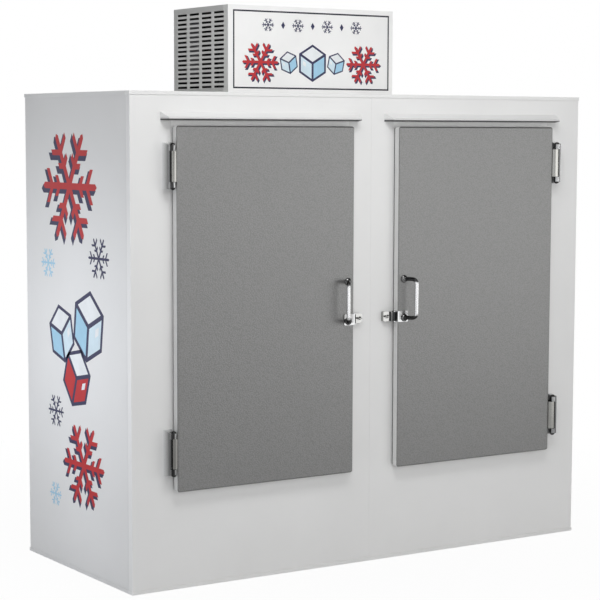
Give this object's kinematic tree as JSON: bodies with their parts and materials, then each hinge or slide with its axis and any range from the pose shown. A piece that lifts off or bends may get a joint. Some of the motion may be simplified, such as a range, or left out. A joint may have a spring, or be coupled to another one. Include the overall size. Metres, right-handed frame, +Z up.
{
  "type": "ice merchandiser freezer",
  "caption": "Upright ice merchandiser freezer: insulated cabinet with a pair of overlay doors, drip rails, chrome hinges and pull handles, and a louvred condensing unit hood on top.",
  "frame": {"origin": "middle of the footprint, handles included, on the floor", "axes": "+Z up, the doors face -Y, +X towards the right-hand door as seen from the front"},
  "size_m": [1.854, 0.8574, 1.9182],
  "materials": {
    "white_paint": "white baked paint on sheet steel, satin",
    "white_liner": "white plastic lining, smooth",
    "foam": "foamed-in-place insulation",
    "grey_plastic": "grey moulded plastic",
    "zinc": "galvanised sheet",
    "embossed_grey": "grey sheet embossed with a fine pebble pattern",
    "rubber": "black rubber",
    "chrome": "polished chrome plate on die castings",
    "hood_grey": "light grey painted sheet",
    "black_paint": "black enamel",
    "aluminium": "mill finish aluminium"
  },
  "bodies": {
    "cabinet": {"back_panel": "white_paint", "base_pan": "white_paint", "compressor": "black_paint", "condenser_coil": "aluminium", "condenser_fan_motor": "black_paint", "cord_gland": "black_paint", "door_throat_left": "grey_plastic", "door_throat_right": "grey_plastic", "drain_tube": "white_liner", "drip_rail_left": "white_paint", "drip_rail_right": "white_paint", "evaporator_coil": "aluminium", "evaporator_fan_motor": "grey_plastic", "evaporator_housing": "aluminium", "fan_shroud": "black_paint", "floor_rack_left": "zinc", "floor_rack_right": "zinc", "front_panel_left": "white_paint", "front_panel_right": "white_paint", "hinge_leaf_lower_left": "chrome", "hinge_leaf_lower_right": "chrome", "hinge_leaf_upper_left": "chrome", "hinge_leaf_upper_right": "chrome", "hood_back_panel": "hood_grey", "hood_top": "hood_grey", "hood_tray": "zinc", "inner_liner": "white_liner", "insulation": "foam", "keeper_left": "rubber", "keeper_right": "rubber", "louver_panel_left": "hood_grey", "louver_panel_right": "hood_grey", "side_panel_left": "white_paint", "side_panel_right": "white_paint", "sign_panel": "white_paint", "strike_plate_left": "chrome", "strike_plate_right": "chrome", "top_cap": "white_paint", "wiring_duct": "grey_plastic"},
    "door_left": {"door_skin_left": "embossed_grey", "door_liner_left": "white_liner", "door_foam_left": "foam", "door_gasket_left": "rubber", "hinge_strap_upper_left": "chrome", "hinge_strap_lower_left": "chrome", "pull_handle_left": "chrome", "catch_plate_left": "chrome"},
    "catch_roller_left": {"catch_roller_left": "rubber"},
    "door_right": {"door_skin_right": "embossed_grey", "door_liner_right": "white_liner", "door_foam_right": "foam", "door_gasket_right": "rubber", "hinge_strap_upper_right": "chrome", "hinge_strap_lower_right": "chrome", "pull_handle_right": "chrome", "catch_plate_right": "chrome"},
    "catch_roller_right": {"catch_roller_right": "rubber"},
    "condenser_fan": {"condenser_fan": "aluminium"},
    "evaporator_fan": {"evaporator_fan": "black_paint"}
  },
  "joints": [
    {"name": "door_left_hinge", "type": "hinge", "parent": "cabinet", "child": "door_left", "pos_m": [-0.793, -0.38431, 0.913], "axis": [0, 0, -1], "range_deg": [0, 110]},
    {"name": "catch_roller_left_spin", "type": "hinge", "parent": "door_left", "child": "catch_roller_left", "pos_m": [-0.0846, -0.36801, 0.851], "axis": [0, 0, 1], "continuous": true},
    {"name": "door_right_hinge", "type": "hinge", "parent": "cabinet", "child": "door_right", "pos_m": [0.793, -0.38431, 0.913], "axis": [0, 0, 1], "range_deg": [0, 110]},
    {"name": "catch_roller_right_spin", "type": "hinge", "parent": "door_right", "child": "catch_roller_right", "pos_m": [0.0846, -0.36801, 0.851], "axis": [0, 0, 1], "continuous": true},
    {"name": "condenser_fan_spin", "type": "hinge", "parent": "cabinet", "child": "condenser_fan", "pos_m": [0.2081, 0.20969, 1.7434], "axis": [1, 0, 0], "continuous": true},
    {"name": "evaporator_fan_spin", "type": "hinge", "parent": "cabinet", "child": "evaporator_fan", "pos_m": [0, 0.10009, 1.4504], "axis": [0, 1, 0], "continuous": true}
  ]
}
